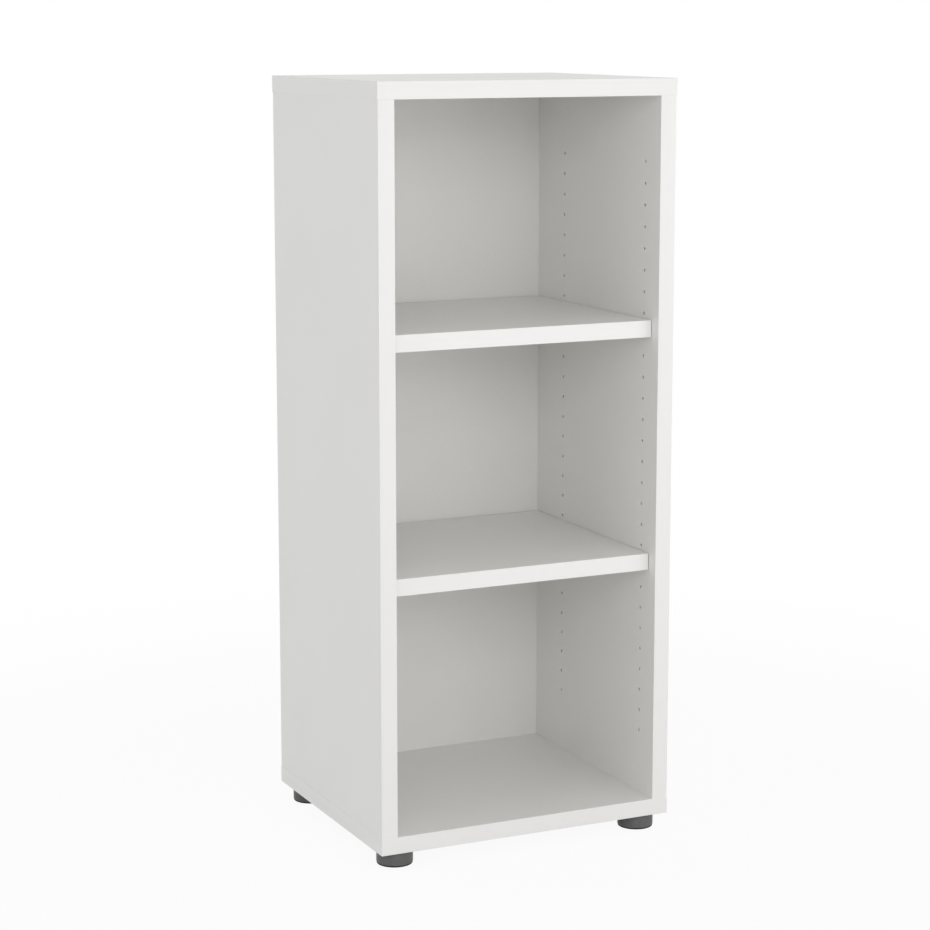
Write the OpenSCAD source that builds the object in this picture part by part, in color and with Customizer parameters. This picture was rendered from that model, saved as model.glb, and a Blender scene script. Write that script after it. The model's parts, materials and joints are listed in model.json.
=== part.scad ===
// Free-standing bookcase with three bays: a white board case with two removable shelves
// on four round levelling feet. Millimetres. The origin is on the floor under the middle
// of the case, with +X to the right, +Y to the back and +Z up. The open front faces -Y.

/* [Case] */
// Width over the two side panels
case_w = 472; // [420:2:800]
// Depth of the side panels, edge band included
case_d = 400; // [380:2:500]
// Thickness of the boards of the case and the shelves
board_t = 25; // [22:1:28]
// How far the top panel stands out past the side panels, all round
top_overhang = 0.8; // [0:0.1:2]
// How far the bottom panel stands out past the side panels, all round
bottom_overhang = 0.4; // [0:0.1:2]
// Thickness of the plastic band glued on each front edge
band_t = 1; // [1:0.5:2]
// Rounding of the two front corners of an edge band
band_r = 0.5; // [0.2:0.1:0.8]

/* [Back panel] */
// Thickness of the back panel
back_t = 3; // [3:0.5:5]
// Distance from the rear edge of the case to the back panel
back_inset = 9; // [6:1:14]
// Depth of the grooves that hold the back panel
groove_depth = 8; // [6:1:10]
// Room on each face of the back panel in its groove
groove_slack = 0.2; // [0.1:0.1:0.5]

/* [Pin holes] */
// Diameter of the pin holes in the side panels
hole_d = 5; // [5:1:7]
// Depth of the pin holes
hole_depth = 13; // [11:1:15]
// Distance from one pin hole to the next
hole_pitch = 32; // [25:1:32]
// Pin holes in one vertical row
hole_count = 28; // [24:1:34]
// Distance from the end of a side panel to its first and its last pin hole
hole_end = 97; // [80:1:110]
// Distance from the front of the case to the front row of pin holes
hole_front = 44; // [37:1:60]
// Distance between the front row and the rear row
hole_row_gap = 256; // [192:32:256]

/* [Shelves] */
// Pin hole that carries the upper shelf, counted from the top
upper_shelf_hole = 9; // [6:1:11]
// Pin hole that carries the lower shelf, counted from the top
lower_shelf_hole = 20; // [16:1:22]
// How far a shelf stands back from the front of the case
shelf_setback = 20; // [5:1:36]
// Room at each end of a shelf
shelf_end_gap = 1; // [0.6:0.1:2]
// Room between a shelf and the back panel
shelf_back_gap = 2; // [1:0.5:6]

/* [Shelf supports] */
// Diameter of the steel pin, which slides into its hole
support_pin_d = 4.9; // [4.8:0.02:4.98]
// Length of the pin inside the side panel
support_pin_l = 10; // [8:0.5:10]
// Length of the flat spoon that the shelf lies on
spoon_l = 12; // [9:0.5:16]
// Width of the spoon
spoon_w = 9; // [7:0.5:12]
// Thickness of the spoon
spoon_t = 1.5; // [1.2:0.1:1.6]
// Drop from the middle of the pin to the top of the spoon
spoon_drop = 1; // [0.8:0.1:1.1]

/* [Corner fittings] */
// Distance from the end of a side panel to the middle of a cam lock
cam_offset = 34; // [34:1:40]
// Distance from the front edge to the front cam locks
cam_front = 70; // [60:1:90]
// Distance from the rear edge to the rear cam locks
cam_rear = 106; // [60:1:120]
// Distance from the front or rear edge to the nearest dowel
dowel_edge = 42; // [38:1:50]
// Diameter of the bore for a cam lock
cam_bore_d = 15; // [15:1:16]
// Depth of the bore for a cam lock
cam_bore_depth = 17.5; // [17:0.5:18.5]
// Diameter of the wooden dowels
dowel_d = 7.9; // [7.8:0.02:7.98]
// Length of the wooden dowels
dowel_l = 34; // [30:1:35]

/* [Feet] */
// Outer diameter of a foot
foot_d = 54; // [48:1:60]
// Height of the case above the floor with the feet screwed in
foot_h = 24; // [22:1:30]
// Distance from the edges of the case to the middle of a foot
foot_inset = 35; // [33:1:60]
// Outer diameter of the threaded stud
stud_d = 9.9; // [9.8:0.02:9.96]
// Pitch of the stud's thread
thread_pitch = 1.5; // [1.25:0.25:1.5]
// Length of stud above the foot
stud_l = 17; // [15:0.5:18]
// Outer diameter of the threaded socket in the bottom panel
socket_d = 14; // [13:0.5:16]
// Length of the threaded socket
socket_l = 18; // [16:0.5:19]

/* [Hidden] */
$fn = 48;
eps = 0.01;
// Radial room round pieces that are pushed or pressed into a bore
fit = 0.05;

side_h = (hole_count - 1) * hole_pitch + 2 * hole_end;
side_z = foot_h + board_t;
case_top = side_z + side_h + board_t;
inner_w = case_w - 2 * board_t;
inner_x = inner_w / 2;
front_y = -case_d / 2;
rear_y = case_d / 2;
back_front_y = rear_y - back_inset - back_t;
top_hole_z = side_z + side_h - hole_end;
hole_rows_y = [front_y + hole_front, front_y + hole_front + hole_row_gap];

shelf_w = inner_w - 2 * shelf_end_gap;
shelf_front_y = front_y + shelf_setback;
shelf_d = back_front_y - shelf_back_gap - shelf_front_y;

// A fitting axis runs up the middle of a side panel's thickness
fitting_x = case_w / 2 - board_t / 2;
cams_y = [front_y + cam_front, rear_y - cam_rear];
dowels_y = [front_y + dowel_edge, rear_y - dowel_edge];
dowel_hole_d = dowel_d + 2 * fit;
dowel_in_panel = 12;
bolt_hole_d = 5;
bolt_hole_depth = 12;
bolt_shaft_d = 7;
bolt_bore_d = 8;
bolt_neck_d = 4.5;
bolt_collar_h = 1;
cam_d = cam_bore_d - 2 * fit;
cam_h = cam_bore_depth - 0.5;
cam_face_depth = 0.5;
cover_d = 17;
cover_t = 0.5;

foot_x = case_w / 2 - foot_inset;
foot_y = case_d / 2 - foot_inset;
socket_hole_depth = 20;
socket_bore_d = 10;
foot_top = foot_h - 0.3;
foot_lift = 2.1;
glide_skirt_r = 26.4;
glide_skirt_top = 1.8;
glide_r = 24;
glide_top = 3;
glide_ring = [15, 17];
glide_ring_top = 7;
glide_room = 0.3;
head_af = 16;
head_h = 6.4;
head_top = 10.8;

function hole_z(from_top) = top_hole_z - (from_top - 1) * hole_pitch;

// ---- boards ----

// A board that lies flat under z = 0 to board_t, with its front edge cut back for the band
module flat_board(overhang) {
    translate([-case_w / 2 - overhang, front_y - overhang + band_t, 0])
        cube([case_w + 2 * overhang, case_d + 2 * overhang - band_t, board_t]);
}

// The stopped groove for the back panel, cut up from z = 0
module board_groove() {
    translate([-inner_x - groove_depth, back_front_y - groove_slack, -eps])
        cube([inner_w + 2 * groove_depth, back_t + 2 * groove_slack, groove_depth + eps]);
}

// Holes for bolts and dowels in the face at z = 0 of the top or bottom panel
module corner_holes() {
    for (x = [-fitting_x, fitting_x]) {
        for (y = cams_y)
            translate([x, y, -eps]) cylinder(d = bolt_hole_d, h = bolt_hole_depth + eps);
        for (y = dowels_y)
            translate([x, y, -eps]) cylinder(d = dowel_hole_d, h = dowel_in_panel + 1 + eps);
    }
}

module top_panel() {
    color([0.94, 0.94, 0.93])
        translate([0, 0, case_top - board_t])
            difference() {
                flat_board(top_overhang);
                board_groove();
                corner_holes();
            }
}

module bottom_panel() {
    color([0.94, 0.94, 0.93])
        difference() {
            translate([0, 0, foot_h]) flat_board(bottom_overhang);
            translate([0, 0, side_z]) mirror([0, 0, 1]) {
                board_groove();
                corner_holes();
            }
            for (x = [-foot_x, foot_x], y = [-foot_y, foot_y])
                translate([x, y, foot_h - eps])
                    cylinder(d = socket_d, h = socket_hole_depth + eps);
        }
}

// Bores at one end of a side panel, with the end at z = 0 and the board above it.
// The inner face is at x = 0 and the board reaches to x = board_t.
module side_end_bores() {
    for (y = cams_y) {
        translate([-eps, y, cam_offset])
            rotate([0, 90, 0]) cylinder(d = cam_bore_d, h = cam_bore_depth + eps);
        translate([board_t / 2, y, -eps])
            cylinder(d = bolt_bore_d, h = cam_offset + eps);
    }
    for (y = dowels_y)
        translate([board_t / 2, y, -eps])
            cylinder(d = dowel_hole_d, h = dowel_l - dowel_in_panel + 1 + eps);
}

// The right side panel, standing on z = 0 with its inner face at x = 0
module side_board() {
    difference() {
        translate([0, front_y + band_t, 0]) cube([board_t, case_d - band_t, side_h]);
        for (y = hole_rows_y, n = [0 : hole_count - 1])
            translate([-eps, y, hole_end + n * hole_pitch])
                rotate([0, 90, 0]) cylinder(d = hole_d, h = hole_depth + eps, $fn = 24);
        side_end_bores();
        translate([0, 0, side_h]) mirror([0, 0, 1]) side_end_bores();
        translate([-eps, back_front_y - groove_slack, -eps])
            cube([groove_depth + eps, back_t + 2 * groove_slack, side_h + 2 * eps]);
    }
}

module right_side() {
    color([0.94, 0.94, 0.93]) translate([inner_x, 0, side_z]) side_board();
}

module left_side() {
    color([0.94, 0.94, 0.93])
        mirror([1, 0, 0]) translate([inner_x, 0, side_z]) side_board();
}

module back_panel() {
    // The panel stops short of the bottom of every groove
    reach = groove_depth - 0.5;
    color([0.92, 0.92, 0.91])
        translate([-inner_x - reach, back_front_y, side_z - reach])
            cube([inner_w + 2 * reach, back_t, side_h + 2 * reach]);
}

// ---- edge bands ----

// Section of a band: x runs across the board, y back from the front face
module band_section(width) {
    translate([band_r, 0]) square([width - 2 * band_r, band_t]);
    translate([0, band_r]) square([width, band_t - band_r]);
    for (x = [band_r, width - band_r]) translate([x, band_r]) circle(r = band_r, $fn = 24);
}

// A band that lies along X, centred on x = 0, with its lower edge at z = 0
module flat_band(length) {
    translate([-length / 2, 0, 0])
        rotate([90, 0, 90]) linear_extrude(length) band_turned();
}

// The section stood up, so that y across the board becomes height
module band_turned() {
    mirror([1, -1, 0]) band_section(board_t);
}

module standing_band(x) {
    color([0.95, 0.95, 0.94])
        translate([x, front_y, side_z]) linear_extrude(side_h) band_section(board_t);
}

module top_edge_band() {
    color([0.95, 0.95, 0.94])
        translate([0, front_y - top_overhang, case_top - board_t])
            flat_band(case_w + 2 * top_overhang);
}

module bottom_edge_band() {
    color([0.95, 0.95, 0.94])
        translate([0, front_y - bottom_overhang, foot_h])
            flat_band(case_w + 2 * bottom_overhang);
}

module left_edge_band() {
    standing_band(-case_w / 2);
}

module right_edge_band() {
    standing_band(inner_x);
}

// ---- shelves ----

function shelf_z(hole) = hole_z(hole) - spoon_drop;

module shelf_board(hole) {
    color([0.94, 0.94, 0.93])
        translate([-shelf_w / 2, shelf_front_y + band_t, shelf_z(hole)])
            cube([shelf_w, shelf_d - band_t, board_t]);
}

module shelf_band(hole) {
    color([0.95, 0.95, 0.94])
        translate([0, shelf_front_y, shelf_z(hole)]) flat_band(shelf_w);
}

// A steel support: a round pin in the side panel, pressed flat into a spoon under the shelf.
// side is -1 on the left and 1 on the right, row is 0 at the front and 1 at the rear.
module shelf_support(hole, side, row) {
    lap = 0.6;
    color([0.75, 0.75, 0.74])
        translate([side * inner_x, hole_rows_y[row], hole_z(hole)])
            mirror([side < 0 ? 1 : 0, 0, 0]) {
                translate([-lap, 0, 0])
                    rotate([0, 90, 0]) cylinder(d = support_pin_d, h = support_pin_l + lap);
                translate([0, 0, -spoon_drop - spoon_t])
                    linear_extrude(spoon_t) {
                        translate([-spoon_l + spoon_w / 2, -spoon_w / 2])
                            square([spoon_l - spoon_w / 2, spoon_w]);
                        translate([-spoon_l + spoon_w / 2, 0]) circle(d = spoon_w);
                    }
            }
}

// ---- corner fittings ----

// Places its children at all eight cam positions: z runs along the bolt away from the joint,
// with the joint at z = 0, and x runs from the cam towards the outside of the case
module at_cams() {
    for (side = [0, 1], y = cams_y)
        mirror([side, 0, 0]) {
            translate([fitting_x, y, side_z]) children();
            translate([fitting_x, y, side_z + side_h]) mirror([0, 0, 1]) children();
        }
}

// Drum with a hollow and a slot that catch the head and the neck of the bolt,
// and a crossed recess for the screwdriver
module cam_lock() {
    face_x = -board_t / 2 + cam_face_depth;
    hollow_r = 4;
    slot_w = 5;
    cross = [1.6, 8];
    cross_depth = 3;
    translate([0, 0, cam_offset])
        difference() {
            translate([face_x, 0, 0]) rotate([0, 90, 0]) cylinder(d = cam_d, h = cam_h);
            sphere(r = hollow_r);
            translate([0, 0, -cam_d / 2]) cylinder(r = hollow_r, h = 3.2, center = true);
            translate([-slot_w / 2, -slot_w / 2, -cam_d / 2 - eps])
                cube([slot_w, slot_w, cam_d / 2]);
            for (turn = [45, 135])
                translate([face_x - eps, 0, 0]) rotate([turn, 0, 0])
                    translate([0, -cross[0] / 2, -cross[1] / 2])
                        cube([cross_depth, cross[0], cross[1]]);
        }
}

module cam_locks() {
    color([0.72, 0.72, 0.70]) at_cams() cam_lock();
}

// Bolt screwed into the top or bottom panel: thread, collar, shaft, neck and ball head
module cam_bolt() {
    thread_l = bolt_hole_depth - 1;
    neck_z = cam_offset - 8.5;
    translate([0, 0, -thread_l]) cylinder(d = bolt_hole_d - 2 * fit, h = thread_l + eps);
    cylinder(d = bolt_shaft_d, h = bolt_collar_h + eps);
    translate([0, 0, bolt_collar_h]) cylinder(d = bolt_shaft_d - 1, h = neck_z - bolt_collar_h);
    translate([0, 0, neck_z - eps]) cylinder(d = bolt_neck_d, h = cam_offset - neck_z);
    translate([0, 0, cam_offset]) sphere(d = bolt_shaft_d);
}

module cam_bolts() {
    color([0.75, 0.72, 0.60]) at_cams() cam_bolt();
}

// Flat cap over the cam, with a blade that holds it in the crossed recess
module cam_cover() {
    blade = [1.4, 7];
    blade_depth = 2.5;
    dimple_d = 6;
    dimple_depth = 0.3;
    difference() {
        union() {
            translate([-board_t / 2 - cover_t, 0, cam_offset])
                rotate([0, 90, 0]) cylinder(d = cover_d, h = cover_t);
            translate([-board_t / 2 - eps, 0, cam_offset]) rotate([45, 0, 0])
                translate([0, -blade[0] / 2, -blade[1] / 2])
                    cube([cam_face_depth + blade_depth, blade[0], blade[1]]);
        }
        translate([-board_t / 2 - cover_t - eps, 0, cam_offset])
            rotate([0, 90, 0]) cylinder(d = dimple_d, h = dimple_depth + eps);
    }
}

module cam_covers() {
    color([0.93, 0.93, 0.92]) at_cams() cam_cover();
}

// Turned dowel with a small chamfer at each end
module dowel() {
    r = dowel_d / 2;
    chamfer = 1;
    translate([0, 0, -dowel_in_panel])
        rotate_extrude()
            polygon([
                [0, 0], [r - chamfer, 0], [r, chamfer],
                [r, dowel_l - chamfer], [r - chamfer, dowel_l], [0, dowel_l]
            ]);
}

module dowels() {
    color([0.80, 0.66, 0.45])
        for (side = [-1, 1], y = dowels_y) {
            translate([side * fitting_x, y, side_z]) dowel();
            translate([side * fitting_x, y, side_z + side_h]) mirror([0, 0, 1]) dowel();
        }
}

// ---- levelling feet ----

// Ribbed metal sleeve pressed into the underside of the bottom panel
module foot_socket() {
    rib_count = 6;
    rib_pitch = socket_l / rib_count;
    outer_r = socket_d / 2 - fit;
    difference() {
        union() {
            cylinder(r = outer_r - 0.6, h = socket_l);
            for (n = [0 : rib_count - 1])
                translate([0, 0, n * rib_pitch]) cylinder(r = outer_r, h = rib_pitch / 2);
        }
        translate([0, 0, -eps]) cylinder(d = socket_bore_d, h = socket_l + 2 * eps);
    }
}

module foot_sockets() {
    color([0.70, 0.68, 0.60])
        for (x = [-foot_x, foot_x], y = [-foot_y, foot_y])
            translate([x, y, foot_h]) foot_socket();
}

// Moulded foot: a plain drum with a rounded lower rim, a shallow recess and a ring groove
// for the glide, a six-sided pocket for the head of the stud and a hole for its shank
module foot(side_x, side_y) {
    r = foot_d / 2;
    rim = 0.8;
    recess_top = glide_top + 0.2;
    recess_r = glide_r + glide_room;
    color([0.27, 0.28, 0.28])
        translate([side_x * foot_x, side_y * foot_y, 0])
            difference() {
                rotate_extrude() {
                    translate([0, foot_lift + rim]) square([r, foot_top - foot_lift - rim - 0.5]);
                    translate([0, foot_lift]) square([r - rim, rim + eps]);
                    translate([r - rim, foot_lift + rim]) circle(r = rim, $fn = 32);
                    polygon([
                        [0, foot_top - 0.5 - eps], [r, foot_top - 0.5 - eps],
                        [r, foot_top - 0.5], [r - 0.5, foot_top], [0, foot_top]
                    ]);
                }
                translate([0, 0, -eps]) cylinder(r = recess_r, h = recess_top + eps);
                rotate_extrude()
                    translate([glide_ring[0] - glide_room, recess_top - eps])
                        square([
                            glide_ring[1] - glide_ring[0] + 2 * glide_room,
                            glide_ring_top + glide_room - recess_top
                        ]);
                cylinder(d = (head_af + 0.2) / cos(30), h = head_top, $fn = 6);
                cylinder(d = stud_d + 0.2, h = foot_h);
            }
}

// Hexagon-headed stud. Its thread is drawn as rings of the thread's pitch and depth.
module stud(side_x, side_y) {
    crest = stud_d / 2;
    root = crest - 0.6 * thread_pitch;
    top = foot_h + stud_l;
    turns = floor((top - foot_top) / thread_pitch);
    start = top - turns * thread_pitch;
    color([0.72, 0.72, 0.72])
        translate([side_x * foot_x, side_y * foot_y, 0]) {
            translate([0, 0, head_top - head_h])
                cylinder(d = head_af / cos(30), h = head_h, $fn = 6);
            translate([0, 0, head_top - eps]) cylinder(r = crest, h = start - head_top + 2 * eps);
            rotate_extrude()
                polygon(concat(
                    [[0, start]],
                    [for (n = [0 : turns - 1], p = [[root, 0.1], [root, 0.2], [crest, 0.6], [crest, 0.7]])
                        [p[0], start + (n + p[1]) * thread_pitch]],
                    [[root, top], [0, top]]
                ));
        }
}

// Pad that stands on the floor while the foot turns on it
module glide(side_x, side_y) {
    edge = 0.5;
    color([0.22, 0.22, 0.22])
        translate([side_x * foot_x, side_y * foot_y, 0])
            rotate_extrude()
                polygon([
                    [0, 0], [glide_skirt_r - edge, 0], [glide_skirt_r, edge],
                    [glide_skirt_r, glide_skirt_top], [glide_r, glide_skirt_top],
                    [glide_r, glide_top],
                    [glide_ring[1], glide_top], [glide_ring[1], glide_ring_top],
                    [glide_ring[0], glide_ring_top], [glide_ring[0], glide_top], [0, glide_top]
                ]);
}

top_panel();
bottom_panel();
left_side();
right_side();
back_panel();
top_edge_band();
bottom_edge_band();
left_edge_band();
right_edge_band();
shelf_board(upper_shelf_hole);  // upper_shelf
shelf_board(lower_shelf_hole);  // lower_shelf
shelf_band(upper_shelf_hole);  // upper_shelf_band
shelf_band(lower_shelf_hole);  // lower_shelf_band
shelf_support(upper_shelf_hole, -1, 0);  // upper_support_front_left
shelf_support(upper_shelf_hole, 1, 0);  // upper_support_front_right
shelf_support(upper_shelf_hole, -1, 1);  // upper_support_rear_left
shelf_support(upper_shelf_hole, 1, 1);  // upper_support_rear_right
shelf_support(lower_shelf_hole, -1, 0);  // lower_support_front_left
shelf_support(lower_shelf_hole, 1, 0);  // lower_support_front_right
shelf_support(lower_shelf_hole, -1, 1);  // lower_support_rear_left
shelf_support(lower_shelf_hole, 1, 1);  // lower_support_rear_right
cam_locks();
cam_bolts();
cam_covers();
dowels();
foot_sockets();
foot(-1, -1);  // foot_front_left
foot(1, -1);  // foot_front_right
foot(-1, 1);  // foot_rear_left
foot(1, 1);  // foot_rear_right
stud(-1, -1);  // stud_front_left
stud(1, -1);  // stud_front_right
stud(-1, 1);  // stud_rear_left
stud(1, 1);  // stud_rear_right
glide(-1, -1);  // glide_front_left
glide(1, -1);  // glide_front_right
glide(-1, 1);  // glide_rear_left
glide(1, 1);  // glide_rear_right
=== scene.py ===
# %% [markdown]
# # A white bookcase on four levelling feet
#
# The object is a narrow office bookcase: 25 mm chipboard faced with white melamine, a thin
# plastic band on every front edge, two loose shelves on steel pins, and four round feet that
# screw in and out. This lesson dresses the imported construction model. The construction gives
# every size and place, and nothing here moves it. What is added is the finish: softened
# board edges, real threads, moulded rims, and a material for each kind of surface.

# %% Load the construction model
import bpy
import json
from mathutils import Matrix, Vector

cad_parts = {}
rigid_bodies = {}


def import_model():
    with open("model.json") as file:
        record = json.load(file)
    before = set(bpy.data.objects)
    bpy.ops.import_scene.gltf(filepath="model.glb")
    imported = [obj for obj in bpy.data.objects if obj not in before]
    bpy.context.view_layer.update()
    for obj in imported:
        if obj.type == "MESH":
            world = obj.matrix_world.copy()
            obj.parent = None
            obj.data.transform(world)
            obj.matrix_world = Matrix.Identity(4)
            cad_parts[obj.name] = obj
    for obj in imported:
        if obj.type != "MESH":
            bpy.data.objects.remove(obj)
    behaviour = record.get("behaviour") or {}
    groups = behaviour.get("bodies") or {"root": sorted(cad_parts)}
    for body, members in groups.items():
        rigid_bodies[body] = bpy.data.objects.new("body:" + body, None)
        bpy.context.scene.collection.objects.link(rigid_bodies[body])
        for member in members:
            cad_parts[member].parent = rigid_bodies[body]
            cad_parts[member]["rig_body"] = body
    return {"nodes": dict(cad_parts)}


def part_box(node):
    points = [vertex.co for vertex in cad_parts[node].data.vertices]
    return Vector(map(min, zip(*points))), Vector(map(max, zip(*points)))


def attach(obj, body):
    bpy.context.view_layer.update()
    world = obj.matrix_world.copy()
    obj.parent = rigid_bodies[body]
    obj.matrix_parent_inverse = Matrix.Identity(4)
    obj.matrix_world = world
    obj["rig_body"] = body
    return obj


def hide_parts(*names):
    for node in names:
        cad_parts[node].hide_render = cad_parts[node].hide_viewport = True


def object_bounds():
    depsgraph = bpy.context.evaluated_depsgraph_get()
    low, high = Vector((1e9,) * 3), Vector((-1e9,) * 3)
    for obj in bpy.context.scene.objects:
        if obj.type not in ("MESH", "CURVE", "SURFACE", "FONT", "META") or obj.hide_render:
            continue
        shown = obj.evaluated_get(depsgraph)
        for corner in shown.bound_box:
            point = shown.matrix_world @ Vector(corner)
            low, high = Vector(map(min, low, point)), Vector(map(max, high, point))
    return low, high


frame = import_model()
cad_low, cad_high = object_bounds()
print("construction box:", [round(v, 4) for v in (*cad_low, *cad_high)])

# %% Tools of this lesson
import json
import math

import bmesh
import bpy
from mathutils import Vector

MM = 0.001
CORNERS = ("front_left", "front_right", "rear_left", "rear_right")
print("nodes in the construction:", len(frame["nodes"]))

# %% [markdown]
# ## The camera
#
# The camera stands in front of the left edge, a little above the top panel, and looks down
# on the case with a long lens. A long lens far away keeps the upright edges nearly parallel,
# as a furniture catalogue wants them. It comes first, because every later choice of detail
# is judged through it.

# %% Camera
CAMERA_PLACE = (-1.5935, -3.3476, 1.2164)
CAMERA_TILT_DOWN = 0.1709
CAMERA_TURN = 0.4421
CAMERA_LENS = 95.91
CAMERA_SHIFT = -0.02

bpy.ops.object.camera_add(location=CAMERA_PLACE)
camera = bpy.context.object
camera.name = "catalogue_camera"
camera.rotation_euler = (math.pi / 2 - CAMERA_TILT_DOWN, 0, -CAMERA_TURN)
camera.data.lens = CAMERA_LENS
camera.data.shift_y = CAMERA_SHIFT
bpy.context.scene.camera = camera
bpy.context.scene.view_settings.view_transform = "Standard"
print("camera", camera.data.lens, "mm, tilted down", round(math.degrees(CAMERA_TILT_DOWN), 1))

# %% [markdown]
# ## Helpers for shader nodes
#
# Every finish below is a small tree of nodes. A few helpers keep the trees readable: one adds
# a node and sets its inputs by name, and others start a material with its shader or start a
# group. All patterns read Object coordinates, so they are measured in metres on the real
# piece.

# %% Node helpers
def add_node(tree, kind, settings=None, **values):
    """Adds a node, sets its own settings, then sets its inputs by name."""
    node = tree.nodes.new("ShaderNode" + kind)
    for name, value in (settings or {}).items():
        setattr(node, name, value)
    for name, value in values.items():
        node.inputs[name.replace("_", " ")].default_value = value
    return node


def join(tree, source, target):
    """Links an output socket to an input socket."""
    tree.links.new(source, target)


def math_node(tree, operation, first, second):
    """A Math node whose two inputs are sockets or plain numbers."""
    node = add_node(tree, "Math", {"operation": operation})
    for socket, value in zip(node.inputs, (first, second)):
        if isinstance(value, bpy.types.NodeSocket):
            join(tree, value, socket)
        else:
            socket.default_value = value
    return node.outputs["Value"]


def start_finish(name, **shader_values):
    """Starts a material and returns it with its tree, its shader and Object coordinates."""
    finish = bpy.data.materials.new(name)
    finish.use_nodes = True
    tree = finish.node_tree
    tree.nodes.clear()
    output = add_node(tree, "OutputMaterial")
    shader = add_node(tree, "BsdfPrincipled", **shader_values)
    join(tree, shader.outputs["BSDF"], output.inputs["Surface"])
    place = add_node(tree, "TexCoord").outputs["Object"]
    return finish, tree, shader, place


def average(tree, first, second):
    """The mean of two masks."""
    return math_node(tree, "MULTIPLY", math_node(tree, "ADD", first, second), 0.5)


def start_group(name, inputs, outputs):
    """Starts a node group with float or vector inputs and float outputs."""
    group = bpy.data.node_groups.new(name, "ShaderNodeTree")
    for label, kind in inputs.items():
        group.interface.new_socket(label, in_out="INPUT", socket_type="NodeSocket" + kind)
    for label in outputs:
        group.interface.new_socket(label, in_out="OUTPUT", socket_type="NodeSocketFloat")
    entry = group.nodes.new("NodeGroupInput")
    exit_node = group.nodes.new("NodeGroupOutput")
    return group, entry.outputs, exit_node.inputs


def use_group(tree, group, place, **values):
    """Puts a group into a material, with its own values, and returns its outputs."""
    node = tree.nodes.new("ShaderNodeGroup")
    node.node_tree = group
    join(tree, place, node.inputs["Place"])
    for name, value in values.items():
        node.inputs[name.replace("_", " ")].default_value = value
    return node.outputs


print("node helpers ready")

# %% [markdown]
# ## What the finishes share
#
# Three effects come back in several finishes, so each is a node group that is built once.
# *Cloudy tone* is the slow change of shade that any large surface has. *Pearl relief* is the
# fine grain pressed into melamine and moulded plastic, and, wider, the peel of a lacquer.
# *Drawn lines* are the fine marks that run along anything that was extruded, milled or drawn
# through a tool, and in wood they are the grain.

# %% Group: cloudy tone
def place_in_sizes(group, given, size):
    """The place counted in sizes of the pattern instead of metres."""
    scaled = add_node(group, "VectorMath", {"operation": "SCALE"})
    join(group, given["Place"], scaled.inputs[0])
    join(group, math_node(group, "DIVIDE", 1.0, given[size]), scaled.inputs["Scale"])
    return scaled.outputs["Vector"]


def make_cloudy_tone():
    group, given, result = start_group(
        "cloudy_tone", {"Place": "Vector", "Patch Size": "Float"}, ["Tone"]
    )
    clouds = add_node(group, "TexNoise", Scale=1.0, Detail=4.0, Roughness=0.55)
    join(group, place_in_sizes(group, given, "Patch Size"), clouds.inputs["Vector"])
    spread = add_node(group, "MapRange", From_Min=0.3, From_Max=0.7)
    join(group, clouds.outputs["Fac"], spread.inputs["Value"])
    join(group, spread.outputs["Result"], result["Tone"])
    return group


cloudy_tone = make_cloudy_tone()
print("made", cloudy_tone.name)

# %% Group: pearl relief
def make_pearl_relief():
    group, given, result = start_group(
        "pearl_relief", {"Place": "Vector", "Grain Size": "Float"}, ["Height", "Pits"]
    )
    counted = place_in_sizes(group, given, "Grain Size")
    pearls = add_node(group, "TexVoronoi", {"feature": "F1"}, Scale=0.8, Randomness=1.0)
    grain = add_node(group, "TexNoise", Scale=1.6, Detail=2.0, Roughness=0.6)
    join(group, counted, pearls.inputs["Vector"])
    join(group, counted, grain.inputs["Vector"])
    rounded = math_node(group, "MULTIPLY", pearls.outputs["Distance"], -0.6)
    join(group, math_node(group, "ADD", rounded, grain.outputs["Fac"]), result["Height"])
    pits = add_node(group, "MapRange", From_Min=0.55, From_Max=0.85)
    join(group, pearls.outputs["Distance"], pits.inputs["Value"])
    join(group, pits.outputs["Result"], result["Pits"])
    return group


pearl_relief = make_pearl_relief()
print("made", pearl_relief.name)

# %% Group: drawn lines
def make_drawn_lines():
    group, given, result = start_group("drawn_lines", {"Place": "Vector"}, ["Height", "Streaks"])
    fine = add_node(group, "TexNoise", Scale=1.0, Detail=3.0, Roughness=0.65)
    broad = add_node(group, "TexNoise", Scale=0.12, Detail=2.0, Roughness=0.5)
    join(group, given["Place"], fine.inputs["Vector"])
    join(group, given["Place"], broad.inputs["Vector"])
    join(group, fine.outputs["Fac"], result["Height"])
    streaks = add_node(group, "MapRange", From_Min=0.35, From_Max=0.65)
    join(group, broad.outputs["Fac"], streaks.inputs["Value"])
    join(group, streaks.outputs["Result"], result["Streaks"])
    return group


drawn_lines = make_drawn_lines()
print("made", drawn_lines.name)

# %% [markdown]
# ## How a finish is put together
#
# A finish mixes two close shades by a mask, moves the roughness between two values by
# another mask, and raises a height with a Bump node. These steps are the same in each
# material, so each is a short helper. A fourth one stretches a pattern along the way the
# material was drawn or has grown. The bump depth is in metres: melamine grain is only some
# hundredths of a millimetre deep.

# %% Steps of a finish
def blend_shades(tree, shader, mask, first, second):
    """Mixes two colours by a mask and gives the result to the shader."""
    mix = add_node(tree, "Mix", {"data_type": "RGBA"})
    colour_inputs = [s for s in mix.inputs if s.type == "RGBA"]
    colour_inputs[0].default_value = (*first, 1)
    colour_inputs[1].default_value = (*second, 1)
    join(tree, mask, mix.inputs["Factor"])
    colour = next(s for s in mix.outputs if s.type == "RGBA")
    join(tree, colour, shader.inputs["Base Color"])


def vary_roughness(tree, shader, mask, smooth, rough):
    """Moves the roughness between two values with a mask."""
    span = add_node(tree, "MapRange", To_Min=smooth, To_Max=rough)
    join(tree, mask, span.inputs["Value"])
    join(tree, span.outputs["Result"], shader.inputs["Roughness"])


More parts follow.
